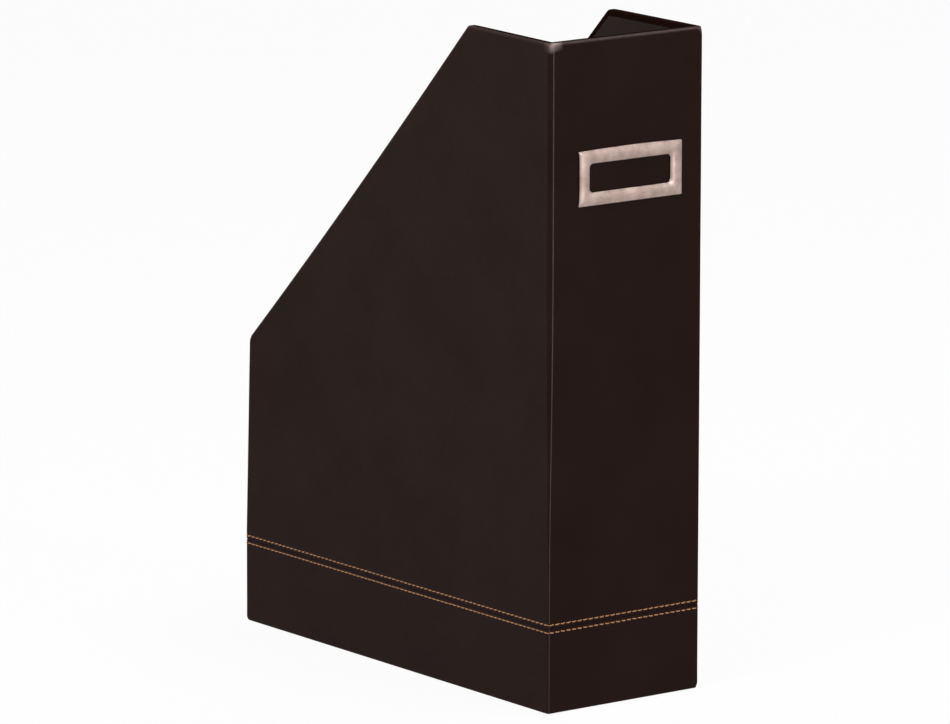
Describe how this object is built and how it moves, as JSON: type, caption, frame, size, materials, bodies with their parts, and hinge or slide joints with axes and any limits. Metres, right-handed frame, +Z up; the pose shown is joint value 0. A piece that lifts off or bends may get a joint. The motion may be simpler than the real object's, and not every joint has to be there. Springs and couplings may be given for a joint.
{
  "type": "magazine file",
  "caption": "Upright open magazine file of board wrapped in brown leatherette, with a slanted mouth, a double-stitched base band and a metal label holder on the spine",
  "frame": {"origin": "middle of the base footprint, on the surface that the file stands on", "axes": "+Z up; the spine with the label holder faces -Y and the low front faces +Y; the two sides are at -X and +X"},
  "size_m": [0.0886, 0.2396, 0.311],
  "materials": {
    "greyboard": "matt grey board",
    "stay_paper": "gummed paper tape",
    "leatherette": "satin dark brown, almost smooth",
    "base_paper": "matt dark paper",
    "thread": "twisted tan thread",
    "lining": "matt dark brown",
    "holder_metal": "warm brushed nickel plate"
  },
  "bodies": {
    "root": {"side_board_left": "greyboard", "side_board_right": "greyboard", "spine_board": "greyboard", "front_board": "greyboard", "base_board": "greyboard", "corner_stay_spine_left": "stay_paper", "corner_stay_spine_right": "stay_paper", "corner_stay_front_left": "stay_paper", "corner_stay_front_right": "stay_paper", "upper_cover": "leatherette", "base_band": "leatherette", "base_sheet": "base_paper", "upper_stitching": "thread", "lower_stitching": "thread", "lining_left": "lining", "lining_right": "lining", "lining_spine": "lining", "lining_front": "lining", "lining_base": "lining", "label_holder": "holder_metal"}
  },
  "joints": []
}
